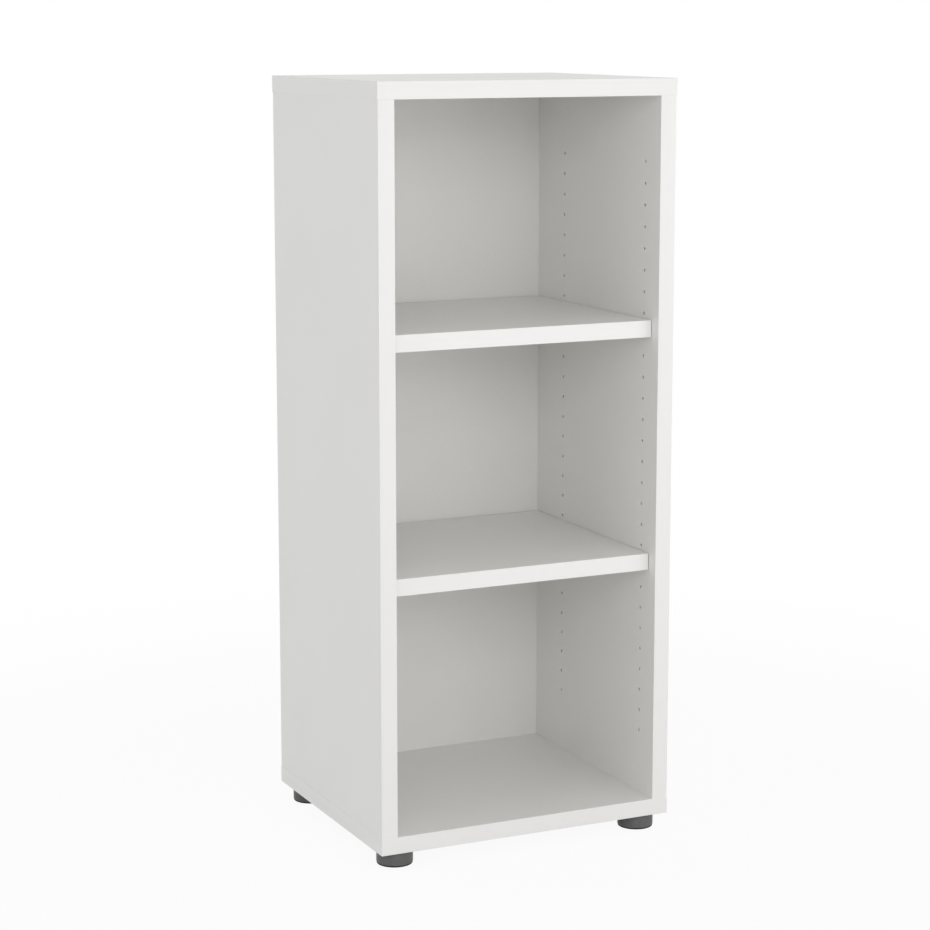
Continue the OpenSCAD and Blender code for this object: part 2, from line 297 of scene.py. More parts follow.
def stretch_place(tree, place, stretch, turn=(0.0, 0.0, 0.0)):
    """Turns the pattern on a piece and packs it closer along each axis."""
    mapping = add_node(tree, "Mapping", Scale=stretch, Rotation=turn)
    join(tree, place, mapping.inputs["Vector"])
    return mapping.outputs["Vector"]


def raise_relief(tree, shader, height, depth):
    """Turns a height into a bump of that depth in metres."""
    bump = add_node(tree, "Bump", Strength=1.0, Distance=depth)
    join(tree, height, bump.inputs["Height"])
    join(tree, bump.outputs["Normal"], shader.inputs["Normal"])


print("steps of a finish ready")

# %% [markdown]
# ## White melamine
#
# The boards are faced with paper soaked in resin and pressed on hot, with a fine pearl grain
# that hides fingerprints. It is a satin white, not a bright one. The grain is about half a
# millimetre across, and the shade wanders by about two per cent over a hand's width.

# %% Finish: white melamine
WHITE_BOARD = (0.850, 0.842, 0.822)
WHITE_BOARD_SHADE = (0.832, 0.824, 0.803)
PEARL_SIZE = 0.6 * MM
PEARL_DEPTH = 0.06 * MM


def make_white_melamine():
    finish, tree, shader, place = start_finish("white_melamine")
    tone = use_group(tree, cloudy_tone, place, Patch_Size=0.13)["Tone"]
    pearl = use_group(tree, pearl_relief, place, Grain_Size=PEARL_SIZE)
    mask = average(tree, tone, pearl["Pits"])
    blend_shades(tree, shader, mask, WHITE_BOARD, WHITE_BOARD_SHADE)
    vary_roughness(tree, shader, mask, smooth=0.36, rough=0.46)
    raise_relief(tree, shader, pearl["Height"], PEARL_DEPTH)
    return finish


white_melamine = make_white_melamine()
print("made", white_melamine.name)

# %% [markdown]
# ## White edge band
#
# Each front edge wears a 1 mm strip of white plastic, glued on hot and trimmed round. It is
# a touch brighter and smoother than the board, and the extruder leaves fine lines along it.
# Lying, standing and front-to-back bands need the lines in different directions. A Mapping
# node stretches the pattern along the band, so all materials come from one function. The
# bands that run front to back close the ends of the top and bottom panels, flush with the
# side panels, so they have the shade of the boards. The shelf band is painted a shade whiter.
# That is painted light: it lifts the set-back shelf edges to the brightness of the front edges.

# %% Finish: white edge band
WHITE_BAND = (0.872, 0.864, 0.846)
WHITE_BAND_SHADE = (0.858, 0.850, 0.831)
# The shelf band colours are painted light: a whiter copy of the band, which brightens the
# set-back shelf edges as more light would.
SHELF_BAND_PAINTED_LIGHT = (0.898, 0.886, 0.870)
SHELF_BAND_PAINTED_LIGHT_SHADE = (0.884, 0.872, 0.855)
LINES_ACROSS = 2500.0
LINES_ALONG = 12.0
LINES_DEPTH = 0.008 * MM


def make_edge_band(name, stretch, shade, deeper_shade):
    finish, tree, shader, place = start_finish(name)
    lines = use_group(tree, drawn_lines, stretch_place(tree, place, stretch))
    tone = use_group(tree, cloudy_tone, place, Patch_Size=0.09)["Tone"]
    mask = average(tree, tone, lines["Streaks"])
    blend_shades(tree, shader, mask, shade, deeper_shade)
    vary_roughness(tree, shader, lines["Streaks"], smooth=0.30, rough=0.38)
    raise_relief(tree, shader, lines["Height"], LINES_DEPTH)
    return finish


ALONG_X = (LINES_ALONG, LINES_ACROSS, LINES_ACROSS)
ALONG_Y = (LINES_ACROSS, LINES_ALONG, LINES_ACROSS)
ALONG_Z = (LINES_ACROSS, LINES_ACROSS, LINES_ALONG)
lying_band = make_edge_band("white_band_lying", ALONG_X, WHITE_BAND, WHITE_BAND_SHADE)
standing_band = make_edge_band("white_band_standing", ALONG_Z, WHITE_BAND, WHITE_BAND_SHADE)
# The shelf band material carries that painted light in its whiter colour.
shelf_band_painted_light = make_edge_band(
    "white_band_shelf_painted_light", ALONG_X, SHELF_BAND_PAINTED_LIGHT, SHELF_BAND_PAINTED_LIGHT_SHADE
)
deep_band = make_edge_band("white_band_deep", ALONG_Y, WHITE_BOARD, WHITE_BOARD_SHADE)
print("made", lying_band.name, standing_band.name, shelf_band_painted_light.name, deep_band.name)

# %% [markdown]
# ## Lacquered hardboard
#
# The back panel is thin fibreboard with a rolled-on white lacquer. The roller leaves a faint
# orange peel, wider and softer than the grain of melamine, and the fibres below make the
# white a little uneven.

# %% Finish: lacquered hardboard
WHITE_LACQUER = (0.838, 0.826, 0.805)
WHITE_LACQUER_SHADE = (0.815, 0.802, 0.780)
PEEL_SIZE = 1.6 * MM
PEEL_DEPTH = 0.03 * MM


def make_white_lacquer():
    finish, tree, shader, place = start_finish("white_lacquered_hardboard")
    tone = use_group(tree, cloudy_tone, place, Patch_Size=0.11)["Tone"]
    peel = use_group(tree, pearl_relief, place, Grain_Size=PEEL_SIZE)
    mask = average(tree, tone, peel["Pits"])
    blend_shades(tree, shader, mask, WHITE_LACQUER, WHITE_LACQUER_SHADE)
    vary_roughness(tree, shader, tone, smooth=0.42, rough=0.52)
    raise_relief(tree, shader, peel["Height"], PEEL_DEPTH)
    return finish


white_lacquer = make_white_lacquer()
print("made", white_lacquer.name)

# %% [markdown]
# ## Bare chipboard
#
# Where a drill or a saw went through the white skin, the core shows: pressed wood chips in
# pale shades of straw. It is seen in the pin holes, and it is what makes them read as
# drilled holes and not as printed dots. Board for white furniture has such a pale core so
# that it doesn't shine through.

# %% Finish: bare chipboard
CHIP_PALE = (0.86, 0.84, 0.79)
CHIP_DARK = (0.72, 0.68, 0.61)
CHIPS_PER_METRE = 700.0
CHIP_STRETCH = (1.0, 1.0, 0.5)
CHIP_DEPTH = 0.3 * MM


def make_chipboard():
    finish, tree, shader, place = start_finish("bare_chipboard")
    chips = add_node(
        tree, "TexVoronoi", {"feature": "F1"}, Scale=CHIPS_PER_METRE, Randomness=1.0
    )
    join(tree, stretch_place(tree, place, CHIP_STRETCH), chips.inputs["Vector"])
    shades = add_node(tree, "SeparateColor")
    join(tree, chips.outputs["Color"], shades.inputs["Color"])
    blend_shades(tree, shader, shades.outputs["Red"], CHIP_PALE, CHIP_DARK)
    vary_roughness(tree, shader, shades.outputs["Green"], smooth=0.75, rough=0.95)
    raise_relief(tree, shader, chips.outputs["Distance"], CHIP_DEPTH)
    return finish


bare_chipboard = make_chipboard()
print("made", bare_chipboard.name)

# %% [markdown]
# ## Moulded plastic
#
# Feet, glides and cover caps are injection moulded. The mould's spark-eroded wall gives a
# very fine even grain, and the plastic's flow gives slow changes of gloss. One function
# makes the three colours: dark grey for the feet, near black for the glides, white for caps.
# The dark plastics mirror little, so they stay dark under bright light.

# %% Finish: moulded plastic
FOOT_GREY = (0.146, 0.146, 0.145)
FOOT_GREY_SHADE = (0.128, 0.128, 0.127)
GLIDE_BLACK = (0.035, 0.036, 0.037)
GLIDE_BLACK_SHADE = (0.026, 0.027, 0.028)
CAP_WHITE = (0.860, 0.852, 0.834)
CAP_WHITE_SHADE = (0.846, 0.838, 0.819)
FOOT_GRAIN = 0.35 * MM
FINE_GRAIN = 0.3 * MM
GRAIN_SIZE_TO_DEPTH = 12


def make_moulded(name, shade, deeper_shade, grain, gloss, mirror):
    finish, tree, shader, place = start_finish(name, Specular_IOR_Level=mirror)
    tone = use_group(tree, cloudy_tone, place, Patch_Size=0.012)["Tone"]
    relief = use_group(tree, pearl_relief, place, Grain_Size=grain)
    blend_shades(tree, shader, tone, shade, deeper_shade)
    vary_roughness(tree, shader, tone, *gloss)
    raise_relief(tree, shader, relief["Height"], grain / GRAIN_SIZE_TO_DEPTH)
    return finish


grey_plastic = make_moulded(
    "grey_moulded_plastic", FOOT_GREY, FOOT_GREY_SHADE, FOOT_GRAIN,
    gloss=(0.36, 0.46), mirror=0.15,
)
dark_plastic = make_moulded(
    "dark_glide_plastic", GLIDE_BLACK, GLIDE_BLACK_SHADE, FINE_GRAIN,
    gloss=(0.50, 0.62), mirror=0.15,
)
white_plastic = make_moulded(
    "white_cap_plastic", CAP_WHITE, CAP_WHITE_SHADE, FINE_GRAIN,
    gloss=(0.30, 0.38), mirror=0.5,
)
print("made", grey_plastic.name, dark_plastic.name, white_plastic.name)

# %% [markdown]
# ## Plated metal
#
# Supports are nickel plated, studs and cams zinc plated, bolts and sockets passivated to a
# yellow zinc. All were tumbled in a drum, so their gloss is blotchy and full of short fine
# scratches that have no common direction.

# %% Finish: plated metal
NICKEL, NICKEL_DULL = (0.66, 0.63, 0.58), (0.56, 0.53, 0.49)
ZINC, ZINC_DULL = (0.60, 0.61, 0.62), (0.50, 0.51, 0.53)
YELLOW_ZINC, YELLOW_ZINC_DULL = (0.70, 0.60, 0.36), (0.58, 0.50, 0.36)
SCRATCH_STRETCH = (9000.0, 1500.0, 6000.0)
SCRATCH_TURN = (0.6, 0.4, 0.9)
SCRATCH_DEPTH = 0.006 * MM


def make_plated(name, shade, dull_shade, gloss):
    finish, tree, shader, place = start_finish(name, Metallic=1.0)
    tone = use_group(tree, cloudy_tone, place, Patch_Size=0.004)["Tone"]
    scratched = stretch_place(tree, place, SCRATCH_STRETCH, SCRATCH_TURN)
    scratches = use_group(tree, drawn_lines, scratched)
    blend_shades(tree, shader, tone, shade, dull_shade)
    mask = average(tree, tone, scratches["Streaks"])
    vary_roughness(tree, shader, mask, *gloss)
    raise_relief(tree, shader, scratches["Height"], SCRATCH_DEPTH)
    return finish


nickel_plate = make_plated("nickel_plate", NICKEL, NICKEL_DULL, gloss=(0.22, 0.36))
zinc_plate = make_plated("zinc_plate", ZINC, ZINC_DULL, gloss=(0.26, 0.42))
yellow_zinc = make_plated(
    "yellow_zinc_plate", YELLOW_ZINC, YELLOW_ZINC_DULL, gloss=(0.28, 0.44)
)
print("made", nickel_plate.name, zinc_plate.name, yellow_zinc.name)

# %% [markdown]
# ## Beech
#
# The dowels are turned beech: a pale pinkish straw with short darker flecks along the grain.
# The grain stands upright, as the dowels do.

# %% Finish: beech
BEECH = (0.66, 0.47, 0.30)
BEECH_FLECK = (0.50, 0.33, 0.19)
UPRIGHT_GRAIN = (1400.0, 1400.0, 130.0)
GRAIN_DEPTH = 0.04 * MM


def make_beech():
    finish, tree, shader, place = start_finish("turned_beech")
    grain = use_group(tree, drawn_lines, stretch_place(tree, place, UPRIGHT_GRAIN))
    blend_shades(tree, shader, grain["Streaks"], BEECH, BEECH_FLECK)
    vary_roughness(tree, shader, grain["Streaks"], smooth=0.55, rough=0.70)
    raise_relief(tree, shader, grain["Height"], GRAIN_DEPTH)
    return finish


turned_beech = make_beech()
print("made", turned_beech.name)

# %% [markdown]
# ## Working on a mesh as by hand
#
# The pieces are modelled with the same tools as in the window: open a mesh, pick faces or
# edges, inset, extrude, bevel. The helpers open and close the edit mode, and pick by a test
# on place or form. Everything is deselected first, because the loaded nodes start out
# selected and an operator would change them too.

# %% Modelling helpers
TINY = 0.01 * MM


def select_only(piece):
    """Leaves edit mode, selects one piece alone and makes it the active one."""
    if bpy.context.object and bpy.context.object.mode != "OBJECT":
        bpy.ops.object.mode_set(mode="OBJECT")
    bpy.ops.object.select_all(action="DESELECT")
    piece.select_set(True)
    bpy.context.view_layer.objects.active = piece


def open_mesh(piece):
    """Goes into edit mode on one piece."""
    select_only(piece)
    bpy.ops.object.mode_set(mode="EDIT")


def close_mesh():
    bpy.ops.object.mode_set(mode="OBJECT")


def pick(piece, kind, wanted):
    """Selects the faces or the edges of an open mesh that pass a test."""
    bpy.ops.mesh.select_mode(type=kind)
    bpy.ops.mesh.select_all(action="DESELECT")
    shape = bmesh.from_edit_mesh(piece.data)
    for part in shape.faces if kind == "FACE" else shape.edges:
        if wanted(part):
            part.select_set(True)
    bmesh.update_edit_mesh(piece.data)


def at_height(height):
    """A test for faces or edges that lie flat at one height."""
    return lambda part: all(abs(v.co.z - height) < TINY for v in part.verts)


def push(*way):
    """Extrudes what is picked by a vector."""
    bpy.ops.mesh.extrude_region_move(TRANSFORM_OT_translate={"value": way})


def apply_modifier(piece, kind, **settings):
    """Adds a modifier, sets it up and applies it."""
    modifier = piece.modifiers.new(kind.lower(), kind)
    for name, value in settings.items():
        setattr(modifier, name, value)
    select_only(piece)
    bpy.ops.object.modifier_apply(modifier=modifier.name)


def combine(piece, tool, operation):
    """Cuts a tool out of a piece, or welds it on, and takes the tool away."""
    apply_modifier(piece, "BOOLEAN", operation=operation, object=tool, solver="EXACT")
    bpy.data.objects.remove(tool)


def settle(piece):
    """Puts a piece's place into its mesh, so that its object sits at the origin."""
    select_only(piece)
    bpy.ops.object.transform_apply(location=True, rotation=True, scale=True)


print("modelling helpers ready")

# %% [markdown]
# ## Cylinders and copies
#
# The turned parts of this case all start as a cylinder that stands on the Z axis. There the
# tests on height stay simple. A finished pattern is copied to its places afterwards, and each
# copy gets a mesh of its own, so that its place can go into the mesh.

# %% Cylinders and copies
def add_cylinder(name, radius, low, high, sides=96):
    """A standing cylinder on the Z axis, from one height to another."""
    bpy.ops.object.select_all(action="DESELECT")
    bpy.ops.mesh.primitive_cylinder_add(
        vertices=sides, radius=radius, depth=high - low, location=(0, 0, (low + high) / 2)
    )
    piece = bpy.context.object
    piece.name = name
    settle(piece)
    return piece


def add_broken_cylinder(name, radius, low, high, edge, segments=1):
    """A cylinder whose two rims are bevelled off."""
    piece = add_cylinder(name, radius, low, high)
    open_mesh(piece)
    for height in (low, high):
        pick(piece, "EDGE", at_height(height))
        bpy.ops.mesh.bevel(offset=edge, segments=segments, affect="EDGES")
    close_mesh()
    return piece


def moved_copy(piece, name, place, turned=0.0):
    """A copy with its own mesh, turned about Z and moved."""
    copy = bpy.data.objects.new(name, piece.data.copy())
    bpy.context.collection.objects.link(copy)
    copy.location = place
    copy.rotation_euler = (0, 0, turned)
    settle(copy)
    return copy


print("cylinders and copies ready")

# %% [markdown]
# ## Shading, checking and handing over
#
# A piece is shaded smooth up to an angle, then weighted normals keep its large faces flat.
# `hand_over` reads the body of the node that a piece stands for, so that no piece can be
# attached to the wrong body. It also counts open edges: a closed shell has none.


def shade(piece, angle=30):
    """Shades smooth where the faces meet at less than an angle in degrees."""
    select_only(piece)
    bpy.ops.object.shade_smooth_by_angle(angle=math.radians(angle))
    apply_modifier(piece, "WEIGHTED_NORMAL", keep_sharp=True, weight=50)


def open_edges(piece):
    """Counts the edges that don't join exactly two faces."""
    shape = bmesh.new()
    shape.from_mesh(piece.data)
    count = sum(not edge.is_manifold for edge in shape.edges)
    shape.free()
    return count


def hand_over(piece, node):
    """Attaches a finished piece to the body of the node that it stands for."""
    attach(piece, frame["nodes"][node]["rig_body"])
    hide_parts(node)
    print(piece.name, len(piece.data.polygons), "faces,", open_edges(piece), "open edges")


# %% [markdown]
# ## Boards
#
# A board's copy already has every groove and bore in the right place. What it lacks is the
# softened edge: on a real board the cutter leaves an arris of a tenth of a millimetre, which
# catches the light as a fine line. Only the twelve outer edges get it. The grooves and bores
# stay crisp, as saw and drill leave them in melamine. The copy is merged first, because a
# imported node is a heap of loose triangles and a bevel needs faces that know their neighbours.

# %% Clean copy with soft edges
ARRIS = 0.12 * MM
SHARP = math.radians(40)
ALMOST_FLAT = math.radians(0.5)


def clean_copy(node, name):
    """Copies a node's mesh and merges its loose triangles into a tidy shell."""
    piece = bpy.data.objects.new(name, frame["nodes"][node].data.copy())
    piece.data.name = name
    piece.data.materials.clear()
    bpy.context.collection.objects.link(piece)
    open_mesh(piece)
    bpy.ops.mesh.select_all(action="SELECT")
    bpy.ops.mesh.customdata_custom_splitnormals_clear()
    bpy.ops.mesh.remove_doubles(threshold=TINY / 10)
    bpy.ops.mesh.dissolve_limited(angle_limit=ALMOST_FLAT)
    close_mesh()
    return piece


def break_outline(piece, width):
    """Bevels the outer edges of a board. Such an edge lies in two faces of the board's box."""
    limits = []
    for axis in range(3):
        places = [vertex.co[axis] for vertex in piece.data.vertices]
        limits += [(axis, min(places)), (axis, max(places))]

    def in_two_faces(edge):
        flush = (all(abs(v.co[axis] - end) < TINY for v in edge.verts) for axis, end in limits)
        return sum(flush) == 2

    open_mesh(piece)
    pick(piece, "EDGE", in_two_faces)
    bpy.ops.mesh.bevel(offset=width, segments=1, affect="EDGES", clamp_overlap=False)
    close_mesh()


def soften(piece, width):
    """Bevels every sharp edge of a piece that has no bores."""
    apply_modifier(
        piece, "BEVEL", width=width, segments=1, limit_method="ANGLE",
        angle_limit=SHARP, use_clamp_overlap=False,
    )


print("arris", ARRIS / MM, "mm")

# %% [markdown]
# ## Which face of a board gets which finish
#
# A board is white melamine on its two wide faces and thin white edging on the edges that
# show. Wherever the saw or the drill went in, the bare chipboard shows. So each face is
# given a finish by where it lies: deeper than the skin is core, and on the outside the
# direction it looks in decides.

# %% Finish by place
SKIN = 0.3 * MM
STRAIGHT = 0.9
FLAT_BOARD = {
    "+Z": white_melamine, "-Z": white_melamine,
    "+X": deep_band, "-X": deep_band, "+Y": lying_band,
}
UPRIGHT_BOARD = {"+X": white_melamine, "-X": white_melamine, "+Y": standing_band}


def direction_of(normal):
    """The axis that a face looks along, such as +Y, or nothing for a slanted face."""
    for axis, part in zip("XYZ", normal):
        if abs(part) > STRAIGHT:
            return ("+" if part > 0 else "-") + axis
    return ""


def dress_board(piece, looks):
    """Gives each face of a board its finish, by how deep it lies and where it looks."""
    low, high = Vector(piece.bound_box[0]), Vector(piece.bound_box[6])
    finishes = [white_melamine, bare_chipboard, standing_band, lying_band, deep_band]
    for finish in finishes:
        piece.data.materials.append(finish)
    for face in piece.data.polygons:
        gaps = [min(c - a, b - c) for a, b, c in zip(low, high, face.center)]
        way = direction_of(face.normal)
        finish = white_melamine
        if min(gaps) > SKIN or (way and way not in looks):
            finish = bare_chipboard
        elif way:
            finish = looks[way]
        face.material_index = finishes.index(finish)


BOARDS = {
    "top_panel": FLAT_BOARD, "bottom_panel": FLAT_BOARD,
    "left_side": UPRIGHT_BOARD, "right_side": UPRIGHT_BOARD,
    "upper_shelf": FLAT_BOARD, "lower_shelf": FLAT_BOARD,
}
for node, looks in BOARDS.items():
    board = clean_copy(node, node + "_faced")
    break_outline(board, ARRIS)
    shade(board)
    dress_board(board, looks)
    hand_over(board, node)

# %% [markdown]
# ## Back panel
#
# The back panel is a sheet of lacquered hardboard that sits loose in its groove. It is sawn
# and not banded, so its edges are only broken with sandpaper.

# %% Back panel
SANDED_EDGE = 0.15 * MM

back = clean_copy("back_panel", "back_panel_lacquered")
soften(back, SANDED_EDGE)
shade(back)
back.data.materials.append(white_lacquer)
hand_over(back, "back_panel")

# %% [markdown]
# ## Edge bands
#
# The construction already rounds the two front corners of each band. The trimmed ends and
# the glued side are still knife-sharp, so they get a very small arris. Between band and
# board this leaves the fine groove in which the glue line sits on the real edge.

# %% Edge bands
TRIMMED_EDGE = 0.1 * MM
BANDS = {
    "top_edge_band": lying_band, "bottom_edge_band": lying_band,
    "left_edge_band": standing_band, "right_edge_band": standing_band,
    "upper_shelf_band": shelf_band_painted_light, "lower_shelf_band": shelf_band_painted_light,
}
for node, finish in BANDS.items():
    band = clean_copy(node, node + "_trimmed")
    soften(band, TRIMMED_EDGE)
    shade(band)
    band.data.materials.append(finish)
    hand_over(band, node)

# %% [markdown]
# ## Shelf supports
#
# A support starts as a round pin and is pressed flat into a spoon at one end. Pressing
# leaves the spoon's edges round, so the bevel is wide here and has three segments. The edges
# at the root of the spoon, where it meets the pin at the side panel, stay as they are.

# %% Shelf supports
PRESSED_ROUND = 0.35 * MM
ROOT_LENGTH = 1.0 * MM
inner_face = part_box("right_side")[0].x


def rounded_by_pressing(edge):
    """A test for the sharp outward edges that lie away from the side panel's face."""
    middle = (edge.verts[0].co + edge.verts[1].co) / 2
    at_root = abs(abs(middle.x) - inner_face) < ROOT_LENGTH
    return edge.is_convex and edge.calc_face_angle() > SHARP and not at_root


for shelf in ("upper", "lower"):
    for corner in CORNERS:
        node = f"{shelf}_support_{corner}"
        support = clean_copy(node, node + "_plated")
        open_mesh(support)
        pick(support, "EDGE", rounded_by_pressing)
        bpy.ops.mesh.bevel(offset=PRESSED_ROUND, segments=3, affect="EDGES")
        close_mesh()
        shade(support, angle=35)
        support.data.materials.append(nickel_plate)
        hand_over(support, node)

# %% [markdown]
# ## Cam covers
#
# A cover is a thin white cap with a round dimple in its middle and a blade behind it that
# grips the screwdriver slot of the cam. It is turned from a flat cylinder: the rim is
# rounded, and the middle is inset and pushed in. The blade is a slim block, welded on. One
# cap is modelled facing along -X, and the eight places come from the box of the group.

# %% Cam cover
CAP_RADIUS = 8.5 * MM
CAP_THICK = 0.5 * MM
CAP_RIM = 0.2 * MM
DIMPLE_RADIUS = 3.0 * MM
DIMPLE_SLOPE = 0.5 * MM
DIMPLE_DEPTH = 0.3 * MM
BLADE = Vector((2.8, 1.4, 7.0)) * MM
BLADE_TURN = math.radians(45)


def add_cap():
    """One cover, modelled lying on its back and then stood up to face along -X."""
    cap = add_cylinder("cap_pattern", CAP_RADIUS, 0, CAP_THICK, sides=64)
    open_mesh(cap)
    pick(cap, "EDGE", at_height(CAP_THICK))
    bpy.ops.mesh.bevel(offset=CAP_RIM, segments=3, affect="EDGES")
    pick(cap, "FACE", at_height(CAP_THICK))
    bpy.ops.mesh.inset(thickness=CAP_RADIUS - CAP_RIM - DIMPLE_RADIUS)
    bpy.ops.mesh.inset(thickness=DIMPLE_SLOPE, depth=-DIMPLE_DEPTH)
    close_mesh()
    bpy.ops.object.select_all(action="DESELECT")
    bpy.ops.mesh.primitive_cube_add(size=1, location=(0, 0, CAP_RIM - BLADE.x / 2))
    blade = bpy.context.object
    blade.scale = (BLADE.z, BLADE.y, BLADE.x)
    blade.rotation_euler = (0, 0, BLADE_TURN)
    combine(cap, blade, "UNION")
    cap.rotation_euler = (0, math.radians(-90), 0)
    settle(cap)
    return cap


cap_pattern = add_cap()
print("cap pattern:", len(cap_pattern.data.polygons), "faces")

# %% Eight cam covers
covers_low, covers_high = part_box("cam_covers")
caps = []
for side, turned in ((1, 0.0), (-1, math.pi)):
    for y in (covers_low.y + CAP_RADIUS, covers_high.y - CAP_RADIUS):
        for z in (covers_low.z + CAP_RADIUS, covers_high.z - CAP_RADIUS):
            place = (side * inner_face, y, z)
            caps.append(moved_copy(cap_pattern, "cap", place, turned))
bpy.data.objects.remove(cap_pattern)
select_only(caps[0])
for cap in caps:
    cap.select_set(True)
bpy.ops.object.join()
covers = bpy.context.object
covers.name = "cam_covers_moulded"
shade(covers)
covers.data.materials.clear()
covers.data.materials.append(white_plastic)
hand_over(covers, "cam_covers")

# %% [markdown]
# ## Feet
#
# A foot is a drum of dark grey plastic. It starts as a cylinder whose two rims are rounded.
# From below the middle is inset and pushed up for the glide, and a ring of faces is pushed
# up further for the glide's snap ring. The six-sided pocket for the stud's head and the hole
# for its shank are cut with two tools, as a broach and a drill would. One foot is modelled
# on the Z axis and copied to the four corners.

# %% Foot
FOOT_RIM = 0.8 * MM
FOOT_TOP_EDGE = 0.5 * MM
RECESS_RADIUS = 24.3 * MM
RECESS_TOP = 3.2 * MM
RING_OUTER = 17.3 * MM
RING_INNER = 14.7 * MM
RING_TOP = 7.3 * MM
POCKET_ACROSS = 16.2 * MM
POCKET_TOP = 10.8 * MM
SHANK_HOLE = 5.05 * MM


def ring_at(height, inner, outer):
    """A test for the flat faces of one ring round the Z axis."""
    flat = at_height(height)
    return lambda face: flat(face) and inner < face.calc_center_median().xy.length < outer


def add_foot(low, high):
    """One foot on the Z axis, as wide and high as the box of its node."""
    radius = (high.x - low.x) / 2
    foot = add_cylinder("foot_pattern", radius, low.z, high.z)
    open_mesh(foot)
    pick(foot, "EDGE", at_height(low.z))
    bpy.ops.mesh.bevel(offset=FOOT_RIM, segments=4, affect="EDGES")
    pick(foot, "EDGE", at_height(high.z))
    bpy.ops.mesh.bevel(offset=FOOT_TOP_EDGE, segments=3, affect="EDGES")
    pick(foot, "FACE", at_height(low.z))
    bpy.ops.mesh.inset(thickness=radius - FOOT_RIM - RECESS_RADIUS)
    push(0, 0, RECESS_TOP - low.z)
    bpy.ops.mesh.inset(thickness=RECESS_RADIUS - RING_OUTER)
    bpy.ops.mesh.inset(thickness=RING_OUTER - RING_INNER)
    pick(foot, "FACE", ring_at(RECESS_TOP, RING_INNER, RING_OUTER))
    push(0, 0, RING_TOP - RECESS_TOP)
    close_mesh()
    corner_radius = POCKET_ACROSS / 2 / math.cos(math.pi / 6)
    combine(foot, add_cylinder("broach", corner_radius, 0, POCKET_TOP, sides=6), "DIFFERENCE")
    combine(foot, add_cylinder("drill", SHANK_HOLE, 0, 2 * high.z, sides=48), "DIFFERENCE")
    return foot


foot_pattern = add_foot(*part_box("foot_front_left"))
print("foot pattern:", len(foot_pattern.data.polygons), "faces")

# %% Four feet
def copy_to_corners(pattern, part, finish, ending):
    """Dresses a pattern and copies it to the four nodes of that part."""
    shade(pattern)
    pattern.data.materials.clear()
    pattern.data.materials.append(finish)
    for corner in CORNERS:
        node = f"{part}_{corner}"
        low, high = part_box(node)
        middle = (low + high) / 2
        piece = moved_copy(pattern, node + ending, (middle.x, middle.y, 0))
        hand_over(piece, node)
    bpy.data.objects.remove(pattern)


copy_to_corners(foot_pattern, "foot", grey_plastic, "_moulded")

# %% [markdown]
# ## Glides
#
# The foot turns on a flat pad that stays still on the floor. It is near black, and its
# skirt shows as a dark line under the drum. On the skirt sits a smaller disc, which fills
# the recess of the foot, and on that stands a ring, which snaps into the foot's groove.

# %% Glide
GLIDE_EDGE = 0.5 * MM
SKIRT_TOP = 1.8 * MM
DISC_RADIUS = 24.0 * MM
DISC_TOP = 3.0 * MM
SNAP_OUTER = 17.0 * MM
SNAP_INNER = 15.0 * MM
SNAP_EDGE = 0.3 * MM


def add_glide(low, high):
    """One glide on the Z axis, as wide and high as the box of its node."""
    radius = (high.x - low.x) / 2
    glide = add_broken_cylinder(
        "glide_pattern", radius, low.z, SKIRT_TOP, GLIDE_EDGE, segments=3
    )
    open_mesh(glide)
    pick(glide, "FACE", at_height(SKIRT_TOP))
    bpy.ops.mesh.inset(thickness=radius - GLIDE_EDGE - DISC_RADIUS)
    push(0, 0, DISC_TOP - SKIRT_TOP)
    bpy.ops.mesh.inset(thickness=DISC_RADIUS - SNAP_OUTER)
    bpy.ops.mesh.inset(thickness=SNAP_OUTER - SNAP_INNER)
    pick(glide, "FACE", ring_at(DISC_TOP, SNAP_INNER, SNAP_OUTER))
    push(0, 0, high.z - DISC_TOP)
    pick(glide, "EDGE", at_height(high.z))
    bpy.ops.mesh.bevel(offset=SNAP_EDGE, segments=2, affect="EDGES")
    close_mesh()
    return glide


copy_to_corners(add_glide(*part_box("glide_front_left")), "glide", dark_plastic, "_moulded")

# %% [markdown]
# ## Threaded studs
#
# The construction draws the thread as plain rings. On the real stud it is a helix, and it
# comes into view when a foot is screwed out. A Screw modifier makes it: the profile of one
# turn is drawn point by point and swept round the axis, climbing one pitch a turn. It is
# swept too long and then cut square at both ends, which also closes it. A chamfered
# cylinder gives the tip its lead, as a die cutter leaves it.

# %% Thread
THREAD_PITCH = 1.5 * MM
CREST = 4.95 * MM
ROOT = 4.05 * MM
TIP_OUTLINE = 5.4 * MM
TIP_CHAMFER = 1.3 * MM
THREAD_STEPS = 48
# radius, and height in pitches, along one turn of the thread
PROFILE = ((ROOT, 0.0), (ROOT, 0.12), (CREST, 0.44), (CREST, 0.56), (ROOT, 0.88), (ROOT, 1.0))


